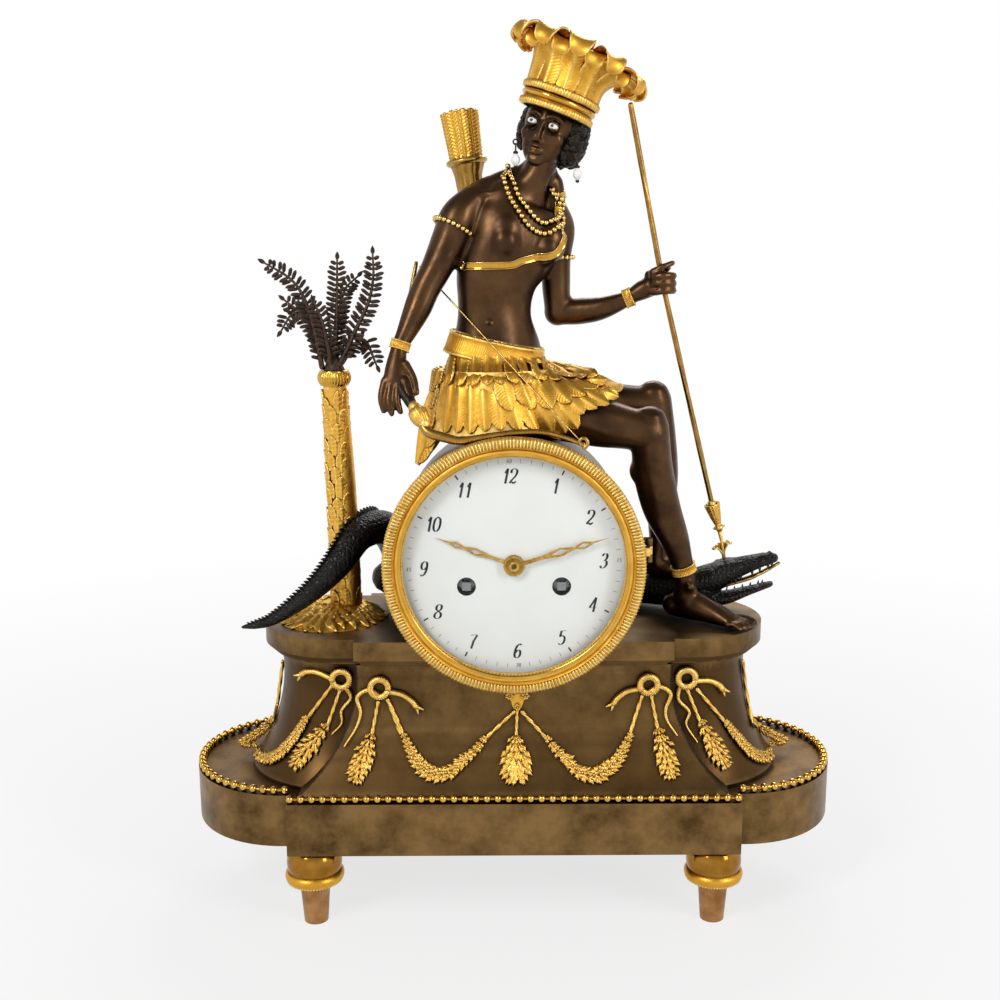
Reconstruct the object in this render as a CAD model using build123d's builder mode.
from build123d import *
import os
from math import acos, atan2, cos, degrees, hypot, radians, sin, sqrt

os.makedirs("parts", exist_ok=True)

# Figural mantel clock in bronze. Millimetres, +Z up, the dial looks along -Y.
# The origin is the middle of the footprint, on the table.

# Plinth: a block with a round end at each side, hollow from below
block_half_width = 116.2
block_half_depth = 64.7
plinth_end_centre = 120.1
plinth_end_radius = 53.5
plinth_bottom = 44.4
plinth_height = 28.2
plinth_wall = 4.5
plinth_deck = 4.0
lug_radius = 15.0
lug_thickness = 5.0
plinth_top = plinth_bottom + plinth_height
deck_bottom = plinth_top - plinth_deck

# Bead rows that stand on the plinth's rim
bead_radius = 2.15
bead_pitch = 5.5
bead_string_radius = 0.9

# Feet
foot_x = 105.0
foot_y = 47.9
foot_tip_radius = 6.3
stem_top_radius = 8.0
stem_height = 23.0
collar_radius = 15.4
collar_height = 6.5
bulb_neck_radius = 12.8
stud_radius = 3.0
nut_radius = 5.5
nut_height = 5.0

# Socle: a concave body with a centre block that stands proud of its round ends
slab_top = 152.3
slab_end_centre = 93.4
slab_end_radius = 40.7
slab_front = 45.4
slab_break_half_width = 82.0
fascia_height = 10.0
ogee_height = 4.5
ogee_inset = 4.6
socle_top = slab_top - fascia_height - ogee_height
socle_wall = 4.5
socle_foot_height = 2.0
socle_waist_height = 32.0
end_reach_top = 32.4
end_reach_waist = 34.8
end_reach_foot = 50.2
front_reach_top = 38.4
front_reach_waist = 41.8
front_reach_foot = 59.4
side_reach_top = 81.6
side_reach_waist = 86.6
side_reach_foot = 110.5

# Tie rods that pull slab, socle and plinth together
tie_rod_x = 72.0
tie_rod_y = 20.0
tie_rod_radius = 2.5
tie_rod_bite = 8.0

# Clock drum and bezel, measured from the dial's centre
dial_centre = 196.0
drum_radius = 60.0
drum_wall = 1.6
drum_back = 16.0
flange_radius = 63.0
flange_thickness = 2.0
flange_front = -58.8
seat_clearance = 0.15
bezel_radius = 64.5
bezel_front = -64.6
bezel_back = -59.1
bezel_sight_radius = 54.7
glass_radius = 56.4
glass_thickness = 1.2
glass_rise = 3.2
hinge_x = 66.4
hinge_knuckle_radius = 1.6
hinge_pin_radius = 0.7
hinge_height = 8.0
knuckle_height = 4.0
knuckle_gap = 0.3
running_clearance = 0.05
body_gap = 0.3

# Dial and hands
dial_front = -56.5
dial_thickness = 1.2
dial_radius = 57.5
ledge_radius = 48.0
centre_hole_radius = 3.4
winding_hole_radius = 4.7
hour_hand_back = -57.3
minute_hand_back = -59.0
hand_thickness = 0.5
hour_hand_length = 41.0
minute_hand_length = 48.5
hour_hand_angle = 290.0
minute_hand_angle = 73.0

# Movement between two plates
front_plate_front = -50.0
plate_thickness = 2.5
plate_radius = 49.8
back_plate_front = -11.0
pillar_radius = 2.5
pillar_circle = 44.0
pillar_stub_radius = 1.5
pillar_angles = (60, 120, 240, 300)
barrel_module = 0.6
great_wheel_teeth = 75
strike_wheel_teeth = 68
centre_pinion_leaves = 12
barrel_x = 23.6
barrel_radius = 17.0
barrel_arbor_radius = 3.0
winding_square = 4.2
ratchet_radius = 8.0
centre_module = 0.5
centre_wheel_teeth = 78
third_pinion_leaves = 6
third_module = 0.4
third_wheel_teeth = 78
escape_pinion_leaves = 6
escape_teeth = 36
escape_radius = 9.0
third_arbor_x = -9.5
minute_work_module = 0.5
cannon_leaves = 12
minute_wheel_teeth = 36
minute_pinion_leaves = 10
hour_wheel_teeth = 40
pallet_rise = 10.4
wheel_thickness = 1.2
arbor_radius = 1.2
pivot_radius = 0.7

# Going and striking pieces behind the back plate
pendulum_length = 87.0
bob_radius = 11.0
bob_thickness = 5.0
pendulum_rod_radius = 0.9
bell_radius = 26.0
bell_depth = 10.0
bell_wall = 1.6
bell_x = 8.0
bell_z = 8.0
bell_front = 0.8
bell_post_radius = 1.2
hammer_x = -24.0
hammer_z = -22.0
door_radius = 30.0
door_z = 10.0
door_thickness = 1.2
door_lap = 2.0

# The figure is laid out in head heights from where it sits on the drum
head_height = 40.0
seat_gap = 0.2
torso_turn = 20.0

# Palm tree and crocodile
palm_x = -90.5
palm_height = 126.0
palm_foot_radius = 7.9
palm_top_radius = 6.1
mound_radius = 28.5
mound_height = 8.5
croc_girth = 9.5

overrun = 1.0

drum_top = dial_centre + drum_radius


def keep(piece, name):
    """Label a finished piece and write it to its own file."""
    piece.part.label = name
    export_step(piece.part, f"parts/{name}.step")


def facing(depth, x=0, z=0, turn=0):
    """A plane that looks out of the dial, placed from the dial's centre, turned clockwise."""
    side = (cos(radians(turn)), 0, -sin(radians(turn)))
    return Plane(origin=(x, depth, dial_centre + z), x_dir=side, z_dir=(0, -1, 0))


def disc(back, front, radius, hole=0, x=0, z=0, mode=Mode.ADD):
    """A round plate or ring from its back depth to its front depth."""
    with BuildSketch(facing(back, x, z)) as outline:
        Circle(radius)
        if hole:
            Circle(hole, mode=Mode.SUBTRACT)
    extrude(outline.sketch, amount=back - front, mode=mode)


def rod(start, end, radius, end_radius=None, mode=Mode.ADD):
    """A round rod between two places, tapered when the end radius is given."""
    start = Vector(*start)
    run = Vector(*end) - start
    with BuildSketch(Plane(origin=start, z_dir=run)) as section:
        Circle(radius)
    if end_radius is None:
        extrude(section.sketch, amount=run.length, mode=mode)
        return
    with BuildSketch(Plane(origin=start + run, z_dir=run)) as far_section:
        Circle(end_radius)
    loft([section.sketch, far_section.sketch], mode=mode)


def ball(place, radius, mode=Mode.ADD):
    with Locations(tuple(place)):
        Sphere(radius, mode=mode)


def swell(stations, side=(0, 1, 0), mode=Mode.ADD):
    """Loft ellipses, each a place with a half width and a half depth, along their places."""
    side = Vector(*side)
    sections = []
    last = len(stations) - 1
    for index, (place, half_width, half_depth) in enumerate(stations):
        along = stations[min(index + 1, last)][0] - stations[max(index - 1, 0)][0]
        along = along.normalized()
        across = side - along * side.dot(along)
        with BuildSketch(Plane(origin=place, x_dir=across, z_dir=along)) as section:
            Ellipse(half_width, half_depth)
        sections.append(section.sketch)
    loft(sections, mode=mode)


# Base

def plinth_outline(height, inset):
    with BuildSketch(Plane.XY.offset(height)) as outline:
        Rectangle(2 * (block_half_width - inset), 2 * (block_half_depth - inset))
        Rectangle(2 * plinth_end_centre, 2 * (plinth_end_radius - inset))
        with Locations((plinth_end_centre, 0), (-plinth_end_centre, 0)):
            Circle(plinth_end_radius - inset)
    return outline.sketch


foot_places = [(side * foot_x, depth * foot_y) for depth in (-1, 1) for side in (-1, 1)]
tie_rod_places = [(-tie_rod_x, tie_rod_y), (tie_rod_x, tie_rod_y)]

with BuildPart() as plinth:
    extrude(plinth_outline(plinth_bottom, 0), amount=plinth_height)
    extrude(
        plinth_outline(plinth_bottom, plinth_wall),
        amount=plinth_height - plinth_deck,
        mode=Mode.SUBTRACT,
    )
    with BuildSketch(Plane.XY.offset(plinth_bottom)) as lugs:
        with Locations(*foot_places):
            Circle(lug_radius)
        add(plinth_outline(plinth_bottom, plinth_wall / 2), mode=Mode.INTERSECT)
    extrude(lugs.sketch, amount=lug_thickness)
    with BuildSketch(Plane.XY.offset(plinth_bottom)) as stud_holes:
        with Locations(*foot_places):
            Circle(stud_radius)
    extrude(stud_holes.sketch, amount=lug_thickness, mode=Mode.SUBTRACT)
    with BuildSketch(Plane.XY.offset(deck_bottom)) as rod_holes:
        with Locations(*tie_rod_places):
            Circle(tie_rod_radius)
    extrude(rod_holes.sketch, amount=plinth_deck, mode=Mode.SUBTRACT)
keep(plinth, "plinth")


def foot_profile():
    """Half outline of a foot: tapered stem, collar, bulb, neck and stud."""
    collar_low = stem_height
    collar_high = collar_low + collar_height
    stud_top = plinth_bottom + lug_thickness + nut_height
    with BuildSketch(Plane.XZ) as outline:
        with BuildLine():
            Polyline(
                (0, 0), (foot_tip_radius, 0), (stem_top_radius, collar_low),
                (collar_radius - collar_height / 2, collar_low),
            )
            ThreePointArc(
                (collar_radius - collar_height / 2, collar_low),
                (collar_radius, collar_low + collar_height / 2),
                (collar_radius - collar_height / 4, collar_high),
            )
            ThreePointArc(
                (collar_radius - collar_height / 4, collar_high),
                ((collar_radius + bulb_neck_radius) / 2, (collar_high + plinth_bottom) / 2),
                (bulb_neck_radius * 3 / 4, plinth_bottom),
            )
            Polyline(
                (bulb_neck_radius * 3 / 4, plinth_bottom), (stud_radius, plinth_bottom),
                (stud_radius, stud_top), (0, stud_top), (0, 0),
            )
        make_face()
    return outline.sketch


foot_names = ("foot_front_left", "foot_front_right", "foot_rear_left", "foot_rear_right")
for foot_name, (x, y) in zip(foot_names, foot_places):
    with BuildPart() as foot:
        revolve(Pos(x, y, 0) * foot_profile(), axis=Axis((x, y, 0), (0, 0, 1)))
    keep(foot, foot_name)

bead_level = plinth_top + bead_radius
front_bead_reach = block_half_width - bead_radius
end_bead_radius = plinth_end_radius - bead_radius
end_bead_start = block_half_width + bead_radius


def beads_along(path, half_turns):
    """A round string along a path with beads on it, each turned so its seam faces sideways."""
    with BuildSketch(Plane(origin=path @ 0, z_dir=path % 0)) as section:
        Circle(bead_string_radius)
    sweep(section.sketch, path=path)
    count = int(path.length / bead_pitch)
    turned = []
    for index in range(count + 1):
        share = index / count
        heading = path % share
        turned.append(Location(path @ share, (0, 0, degrees(atan2(heading.Y, heading.X)) + half_turns)))
    with Locations(*turned):
        Sphere(bead_radius)


bead_seam_turn = 90

with BuildPart() as bead_rows:
    y = bead_radius - block_half_depth
    beads_along(
        Wire([Edge.make_line((-front_bead_reach, y, bead_level), (front_bead_reach, y, bead_level))]),
        bead_seam_turn,
    )
    for side in (-1, 1):
        start = side * end_bead_start
        centre = side * plinth_end_centre
        outermost = side * (plinth_end_centre + end_bead_radius)
        front_low = (start, -end_bead_radius, bead_level)
        front_bend = (centre, -end_bead_radius, bead_level)
        rear_bend = (centre, end_bead_radius, bead_level)
        rear_low = (start, end_bead_radius, bead_level)
        bend = Edge.make_three_point_arc(front_bend, (outermost, 0, bead_level), rear_bend)
        beads_along(
            Wire([Edge.make_line(front_low, front_bend), bend, Edge.make_line(rear_bend, rear_low)]),
            bead_seam_turn,
        )
keep(bead_rows, "bead_rows")


def arc_circle(top, middle, bottom):
    """Centre and radius of the circle through three (reach, height) points."""
    ax, ay = top
    bx, by = middle
    cx, cy = bottom
    base = 2 * (ax * (by - cy) + bx * (cy - ay) + cx * (ay - by))
    squares = [px * px + py * py for px, py in (top, middle, bottom)]
    ux = (squares[0] * (by - cy) + squares[1] * (cy - ay) + squares[2] * (ay - by)) / base
    uy = (squares[0] * (cx - bx) + squares[1] * (ax - cx) + squares[2] * (bx - ax)) / base
    return ux, uy, hypot(ax - ux, ay - uy)


socle_foot = plinth_top + socle_foot_height
socle_waist = plinth_top + socle_waist_height


def cavetto(top_reach, waist_reach, foot_reach):
    return (top_reach, socle_top), (waist_reach, socle_waist), (foot_reach, socle_foot)


front_cavetto = cavetto(front_reach_top, front_reach_waist, front_reach_foot)
end_cavetto = cavetto(end_reach_top, end_reach_waist, end_reach_foot)
side_cavetto = cavetto(side_reach_top, side_reach_waist, side_reach_foot)


def reach_at(profile, height):
    """How far a concave profile reaches from its axis at one height."""
    centre_reach, centre_height, radius = arc_circle(*profile)
    return centre_reach - sqrt(radius ** 2 - (height - centre_height) ** 2)


def cavetto_face(plane, profile, inset=0, both=True):
    """Face under a concave profile, on both sides of its axis or on one."""
    (top_reach, top), (waist_reach, waist), (foot_reach, foot) = profile
    top_reach -= inset
    waist_reach -= inset
    foot_reach -= inset
    with BuildSketch(plane) as outline:
        with BuildLine():
            Line((0, plinth_top), (foot_reach, plinth_top))
            Line((foot_reach, plinth_top), (foot_reach, foot))
            ThreePointArc((foot_reach, foot), (waist_reach, waist), (top_reach, top))
            Line((top_reach, top), (0, top))
            if both:
                Line((0, top), (-top_reach, top))
                ThreePointArc((-top_reach, top), (-waist_reach, waist), (-foot_reach, foot))
                Line((-foot_reach, foot), (-foot_reach, plinth_top))
                Line((-foot_reach, plinth_top), (0, plinth_top))
            else:
                Line((0, top), (0, plinth_top))
        make_face()
    return outline.sketch


def socle_block(inset):
    """Centre block: the front profile and the side profile, crossed."""
    with BuildPart() as block:
        reach = side_reach_foot - inset
        face = cavetto_face(Plane.YZ.offset(-reach), front_cavetto, inset)
        extrude(face, amount=2 * reach)
        depth = front_reach_foot + overrun
        face = cavetto_face(Plane.XZ.offset(-depth), side_cavetto, inset)
        extrude(face, amount=2 * depth, mode=Mode.INTERSECT)
    return block


def socle_ends(inset):
    """Long body with a round end about each end's axis."""
    with BuildPart() as ends:
        face = cavetto_face(Plane.YZ.offset(-slab_end_centre), end_cavetto, inset)
        extrude(face, amount=2 * slab_end_centre)
        for x in (-slab_end_centre, slab_end_centre):
            plane = Plane(origin=(x, 0, 0), x_dir=(1, 0, 0), z_dir=(0, -1, 0))
            face = cavetto_face(plane, end_cavetto, inset, both=False)
            revolve(face, axis=Axis((x, 0, 0), (0, 0, 1)))
    return ends


def socle_solid(inset):
    with BuildPart() as solid:
        add(socle_block(inset).part)
        add(socle_ends(inset).part)
    return solid


socle_shell = socle_solid(0)
socle_core = socle_solid(socle_wall)
slab_bore = drum_radius + seat_clearance

with BuildPart() as socle_body:
    add(socle_shell.part)
    add(socle_core.part, mode=Mode.SUBTRACT)
    disc(block_half_depth, -block_half_depth, slab_bore, mode=Mode.SUBTRACT)
keep(socle_body, "socle_body")


def slab_outline(height, inset):
    with BuildSketch(Plane.XY.offset(height)) as outline:
        Rectangle(2 * (slab_break_half_width - inset), 2 * (slab_front - inset))
        Rectangle(2 * slab_end_centre, 2 * (slab_end_radius - inset))
        with Locations((slab_end_centre, 0), (-slab_end_centre, 0)):
            Circle(slab_end_radius - inset)
    return outline.sketch


with BuildPart() as top_slab:
    steps = 3
    for step in range(steps):
        rise = ogee_height * step / steps
        inset = ogee_inset * (1 - step / steps)
        extrude(slab_outline(socle_top + rise, inset), amount=ogee_height / steps)
    extrude(slab_outline(slab_top - fascia_height, 0), amount=fascia_height)
    disc(drum_back + seat_clearance, -block_half_depth, slab_bore, mode=Mode.SUBTRACT)
    for x, y in tie_rod_places:
        rod((x, y, socle_top), (x, y, socle_top + tie_rod_bite), tie_rod_radius, mode=Mode.SUBTRACT)
keep(top_slab, "top_slab")

with BuildPart() as tie_rods_and_nuts:
    for x, y in tie_rod_places:
        nut_bottom = deck_bottom - nut_height
        rod((x, y, nut_bottom), (x, y, socle_top + tie_rod_bite), tie_rod_radius)
    for x, y in tie_rod_places:
        with BuildSketch(Plane.XY.offset(deck_bottom - nut_height)) as nut_face:
            with Locations((x, y)):
                RegularPolygon(nut_radius, side_count=6)
                Circle(tie_rod_radius, mode=Mode.SUBTRACT)
        extrude(nut_face.sketch, amount=nut_height)
    for x, y in foot_places:
        with BuildSketch(Plane.XY.offset(plinth_bottom + lug_thickness)) as nut_face:
            with Locations((x, y)):
                RegularPolygon(nut_radius, side_count=6)
                Circle(stud_radius, mode=Mode.SUBTRACT)
        extrude(nut_face.sketch, amount=nut_height)
keep(tie_rods_and_nuts, "tie_rods_and_nuts")

# Clock case

hinge_y = flange_front
fixed_knuckles = ((-hinge_height / 2 - knuckle_height / 2, -knuckle_height / 2 - knuckle_gap),
                  (knuckle_height / 2 + knuckle_gap, hinge_height / 2 + knuckle_height / 2))
moving_knuckle = ((-knuckle_height / 2, knuckle_height / 2),)
hinge_centre = dial_centre + hinge_height


def knuckles(x, y, centre, spans, radius, bore, leaf_end, leaf_depth):
    """Hinge knuckles on an upright axis, each with a leaf that runs to its carrier."""
    for low, high in spans:
        low_place = (x, y, centre + low)
        high_place = (x, y, centre + high)
        rod(low_place, high_place, radius)
        with BuildSketch(Plane.XY.offset(centre + low)) as leaf:
            with BuildLine():
                Polyline(
                    (x, y), (x, y + leaf_depth), (leaf_end, y + leaf_depth), (leaf_end, y), close=True
                )
            make_face()
        extrude(leaf.sketch, amount=high - low)
    for low, high in spans:
        rod((x, y, centre + low), (x, y, centre + high), bore, mode=Mode.SUBTRACT)


door_hinge_x = -door_radius - door_lap - 2 * hinge_pin_radius - door_thickness
door_back = drum_back + body_gap
door_hinge_y = door_back + door_thickness + hinge_pin_radius

with BuildPart() as drum_case:
    disc(drum_back, flange_front, drum_radius, drum_radius - drum_wall)
    disc(drum_back, drum_back - drum_wall, drum_radius - drum_wall / 2)
    disc(drum_back, drum_back - drum_wall, door_radius, z=door_z, mode=Mode.SUBTRACT)
    disc(flange_front + flange_thickness, flange_front, flange_radius, drum_radius - drum_wall)
    ledge_front = dial_front + dial_thickness
    disc(front_plate_front, ledge_front, drum_radius - drum_wall / 2, ledge_radius)
    knuckles(
        hinge_x, hinge_y, hinge_centre, fixed_knuckles, hinge_knuckle_radius, hinge_pin_radius,
        flange_radius - hinge_knuckle_radius, flange_thickness,
    )
    knuckles(
        door_hinge_x, door_hinge_y, dial_centre + door_z, fixed_knuckles, hinge_knuckle_radius,
        hinge_pin_radius, door_hinge_x - hinge_knuckle_radius, drum_back - door_hinge_y,
    )
keep(drum_case, "drum_case")

with BuildPart() as hinge_pins:
    reach = hinge_height / 2 + knuckle_height / 2
    for x, y, z in ((hinge_x, hinge_y, hinge_centre), (door_hinge_x, door_hinge_y, dial_centre + door_z)):
        rod((x, y, z - reach), (x, y, z + reach), hinge_pin_radius)
keep(hinge_pins, "hinge_pins")

# Bezel section, as shares of its width and depth
hollow_share = 0.60
torus_share = 0.42
torus_end_share = 0.18

with BuildPart() as bezel:
    bezel_width = bezel_radius - bezel_sight_radius
    bezel_depth = bezel_back - bezel_front
    lip_back = bezel_back - glass_thickness - body_gap
    hollow_start = bezel_sight_radius + bezel_width * hollow_share
    torus_start = bezel_sight_radius + bezel_width * torus_share
    torus_end = bezel_sight_radius + bezel_width * torus_end_share
    chamfer_size = bezel_depth / 6
    with BuildSketch(Plane.XY.offset(dial_centre)) as section:
        with BuildLine():
            Polyline(
                (bezel_radius, bezel_back), (bezel_radius, bezel_front + chamfer_size),
                (bezel_radius - chamfer_size, bezel_front), (hollow_start, bezel_front),
            )
            ThreePointArc(
                (hollow_start, bezel_front),
                ((hollow_start * 2 + torus_start) / 3, bezel_front + bezel_depth * 0.3),
                (torus_start, bezel_front + bezel_depth * 0.35),
            )
            ThreePointArc(
                (torus_start, bezel_front + bezel_depth * 0.35),
                ((torus_start + torus_end) / 2, bezel_front + bezel_depth * 0.12),
                (torus_end, bezel_front + bezel_depth * 0.4),
            )
            Polyline(
                (torus_end, bezel_front + bezel_depth * 0.4),
                (bezel_sight_radius, bezel_front + bezel_depth * 0.5),
                (bezel_sight_radius, lip_back),
                (glass_radius, lip_back),
                (glass_radius, bezel_back),
                (bezel_radius, bezel_back),
            )
        make_face()
    revolve(section.sketch, axis=Axis((0, 0, dial_centre), (0, 1, 0)))
    knuckles(
        hinge_x, hinge_y, hinge_centre, moving_knuckle, hinge_knuckle_radius,
        hinge_pin_radius + running_clearance, bezel_radius - hinge_knuckle_radius,
        bezel_front + chamfer_size - hinge_y,
    )
keep(bezel, "bezel")

with BuildPart() as dial_glass:
    inner = bezel_back - body_gap / 3
    outer = inner - glass_thickness
    with BuildSketch(Plane.XY.offset(dial_centre)) as section:
        with BuildLine():
            ThreePointArc((glass_radius, inner), (0, inner - glass_rise), (-glass_radius, inner))
            Line((-glass_radius, inner), (-glass_radius, outer))
            ThreePointArc((-glass_radius, outer), (0, outer - glass_rise), (glass_radius, outer))
            Line((glass_radius, outer), (glass_radius, inner))
        make_face()
        with Locations((0, (inner + outer) / 2)):
            Rectangle(2 * glass_radius, 4 * glass_rise, align=(Align.MIN, Align.CENTER), mode=Mode.INTERSECT)
    revolve(section.sketch, axis=Axis((0, 0, dial_centre), (0, 1, 0)))
keep(dial_glass, "dial_glass")

# Wheels: arbors are placed so that each pair meshes at its pitch circles

barrel_distance = barrel_module * (great_wheel_teeth + centre_pinion_leaves) / 2
barrel_z = -sqrt(barrel_distance ** 2 - barrel_x ** 2)
third_distance = centre_module * (centre_wheel_teeth + third_pinion_leaves) / 2
third_z = sqrt(third_distance ** 2 - third_arbor_x ** 2)
escape_distance = third_module * (third_wheel_teeth + escape_pinion_leaves) / 2
escape_z = third_z + sqrt(escape_distance ** 2 - third_arbor_x ** 2)
minute_wheel_distance = minute_work_module * (cannon_leaves + minute_wheel_teeth) / 2
hour_module = 2 * minute_wheel_distance / (minute_pinion_leaves + hour_wheel_teeth)
pallet_z = escape_z + pallet_rise

# Tooth form, as shares of the module and of the pitch
addendum_share = 0.85
dedendum_share = 1.15
root_half_share = 0.27
tip_half_share = 0.09


def gear(back, front, teeth, module, phase=0, hole=0, x=0, z=0):
    """A toothed wheel, its first tooth at the phase angle, counted anticlockwise from +X."""
    pitch_radius = teeth * module / 2
    tip = pitch_radius + module * addendum_share
    root = pitch_radius - module * dedendum_share
    corners = []
    for tooth in range(teeth):
        for radius, share in (
            (root, -root_half_share), (tip, -tip_half_share), (tip, tip_half_share), (root, root_half_share)
        ):
            angle = radians(phase + 360 * (tooth + share) / teeth)
            corners.append((radius * cos(angle), radius * sin(angle)))
    with BuildSketch(facing(back, x, z)) as outline:
        with BuildLine():
            Polyline(*corners, close=True)
        make_face()
        if hole:
            Circle(hole, mode=Mode.SUBTRACT)
    extrude(outline.sketch, amount=back - front)


def meshed_phase(place, teeth, phase, mate_place, mate_teeth):
    """Phase of a mate whose gap faces the tooth of the first wheel on the line of centres."""
    line = degrees(atan2(mate_place[1] - place[1], mate_place[0] - place[0]))
    share = (line - phase) * teeth / 360
    return line + 180 - (0.5 - share) * 360 / mate_teeth


centre_place = (0, 0)
going_place = (-barrel_x, barrel_z)
strike_place = (barrel_x, barrel_z)
third_place = (third_arbor_x, third_z)
escape_place = (0, escape_z)
minute_work_place = (0, -minute_wheel_distance)

front_plate_back = front_plate_front + plate_thickness
back_plate_back = back_plate_front + plate_thickness
great_wheel_back = front_plate_back + plate_thickness + wheel_thickness / 2
great_wheel_front = front_plate_back + wheel_thickness
barrel_back = great_wheel_back + barrel_radius * 1.2
centre_wheel_back = back_plate_front - wheel_thickness * 2
third_wheel_back = centre_wheel_back - wheel_thickness * 4
escape_wheel_back = front_plate_back + wheel_thickness * 7
shake = running_clearance
arbor_front = front_plate_back + shake * 2
arbor_back = back_plate_front - shake * 2

cannon_front = minute_hand_back - hand_thickness * 2
cannon_bore = arbor_radius + running_clearance
cannon_radius = arbor_radius * 1.6
hour_pipe_bore = cannon_radius + running_clearance
hour_pipe_radius = hour_pipe_bore * 1.35
motion_back = front_plate_front - wheel_thickness
motion_front = motion_back - wheel_thickness * 0.8
hour_back = motion_front - wheel_thickness * 0.7
hour_front = hour_back - wheel_thickness * 0.8
plate_stud_radius = arbor_radius * 0.75
minute_stud_bore = plate_stud_radius + running_clearance

pivots = (third_place, escape_place)
barrel_hole = barrel_arbor_radius + running_clearance
rear_pivot_radius = barrel_arbor_radius / 2

with BuildPart() as front_plate:
    disc(front_plate_back, front_plate_front, plate_radius)
    disc(front_plate_back, front_plate_front, cannon_bore, mode=Mode.SUBTRACT)
    for x, z in (going_place, strike_place):
        disc(front_plate_back, front_plate_front, barrel_hole, x=x, z=z, mode=Mode.SUBTRACT)
    for x, z in pivots + ((0, pallet_z),):
        disc(front_plate_back, front_plate_front, pivot_radius + running_clearance, x=x, z=z, mode=Mode.SUBTRACT)
    disc(front_plate_back, hour_front - body_gap, plate_stud_radius, x=0, z=-minute_wheel_distance)
    for angle in pillar_angles:
        x = pillar_circle * cos(radians(angle))
        z = pillar_circle * sin(radians(angle))
        disc(back_plate_front, front_plate_back, pillar_radius, x=x, z=z)
        disc(back_plate_back + plate_thickness / 2, back_plate_front, pillar_stub_radius, x=x, z=z)
keep(front_plate, "front_plate")

cock_back = bell_front - body_gap * 4
cock_thickness = plate_thickness / 2
cock_width = bob_radius / 3
suspension_pin_radius = arbor_radius * 0.7
pendulum_y = cock_back - cock_thickness - bob_thickness / 2

with BuildPart() as back_plate:
    disc(back_plate_back, back_plate_front, plate_radius)
    disc(back_plate_back, back_plate_front, pivot_radius + running_clearance, mode=Mode.SUBTRACT)
    for x, z in (going_place, strike_place):
        disc(
            back_plate_back, back_plate_front, rear_pivot_radius + running_clearance, x=x, z=z,
            mode=Mode.SUBTRACT,
        )
    for x, z in pivots:
        disc(back_plate_back, back_plate_front, pivot_radius + running_clearance, x=x, z=z, mode=Mode.SUBTRACT)
    disc(back_plate_back, back_plate_front, arbor_radius + body_gap, z=pallet_z, mode=Mode.SUBTRACT)
    for angle in pillar_angles:
        x = pillar_circle * cos(radians(angle))
        z = pillar_circle * sin(radians(angle))
        disc(back_plate_back, back_plate_front, pillar_stub_radius, x=x, z=z, mode=Mode.SUBTRACT)
    disc(back_plate_back, back_plate_front, bell_post_radius, x=bell_x, z=bell_z, mode=Mode.SUBTRACT)
    disc(bell_front, back_plate_back, arbor_radius, x=hammer_x, z=hammer_z)
    cock_low = pallet_z + arbor_radius * 2
    cock_high = plate_radius - cock_width / 2
    with BuildSketch(facing(cock_back, 0, (cock_low + cock_high) / 2)) as cock_arm:
        Rectangle(2 * cock_width, cock_high - cock_low)
    extrude(cock_arm.sketch, amount=cock_back - back_plate_back)
    with BuildSketch(facing(cock_back, 0, pallet_z)) as cock_drop:
        Rectangle(2 * cock_width, 2 * (cock_low - pallet_z) + arbor_radius)
    extrude(cock_drop.sketch, amount=cock_thickness)
    disc(cock_back, pendulum_y - bob_thickness / 3, suspension_pin_radius, z=pallet_z)
keep(back_plate, "back_plate")

great_phase = meshed_phase(centre_place, centre_pinion_leaves, 0, going_place, great_wheel_teeth)

for name, (x, z), teeth, phase in (
    ("going_barrel", going_place, great_wheel_teeth, great_phase),
    ("strike_barrel", strike_place, strike_wheel_teeth, 0),
):
    with BuildPart() as barrel:
        disc(barrel_back, great_wheel_back, barrel_radius, x=x, z=z)
        gear(great_wheel_back, great_wheel_front, teeth, barrel_module, phase, 0, x, z)
        disc(barrel_back, great_wheel_front, barrel_hole, x=x, z=z, mode=Mode.SUBTRACT)
    keep(barrel, name)

for name, (x, z) in (("going_winding_arbor", going_place), ("strike_winding_arbor", strike_place)):
    with BuildPart() as winding_arbor:
        disc(arbor_back, front_plate_front - plate_thickness, barrel_arbor_radius, x=x, z=z)
        disc(back_plate_back, arbor_back, rear_pivot_radius, x=x, z=z)
        gear(motion_back, motion_front, 24, 2 * ratchet_radius / 24, 0, 0, x, z)
        disc(barrel_back + wheel_thickness, barrel_back + shake * 2, barrel_arbor_radius * 1.6, x=x, z=z)
        with BuildSketch(facing(front_plate_front - plate_thickness, x, z)) as square:
            Rectangle(winding_square, winding_square)
        extrude(square.sketch, amount=front_plate_front - plate_thickness - dial_front - body_gap)
    keep(winding_arbor, name)

third_pinion_phase = meshed_phase(centre_place, centre_wheel_teeth, 0, third_place, third_pinion_leaves)
escape_pinion_phase = meshed_phase(third_place, third_wheel_teeth, 0, escape_place, escape_pinion_leaves)

with BuildPart() as centre_wheel:
    disc(arbor_back, arbor_front, arbor_radius * 1.5)
    disc(back_plate_back, arbor_back, pivot_radius)
    disc(arbor_front, cannon_front - hand_thickness * 2, arbor_radius)
    gear(great_wheel_back, great_wheel_front, centre_pinion_leaves, barrel_module)
    gear(centre_wheel_back, centre_wheel_back - wheel_thickness, centre_wheel_teeth, centre_module)
keep(centre_wheel, "centre_wheel")

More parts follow.
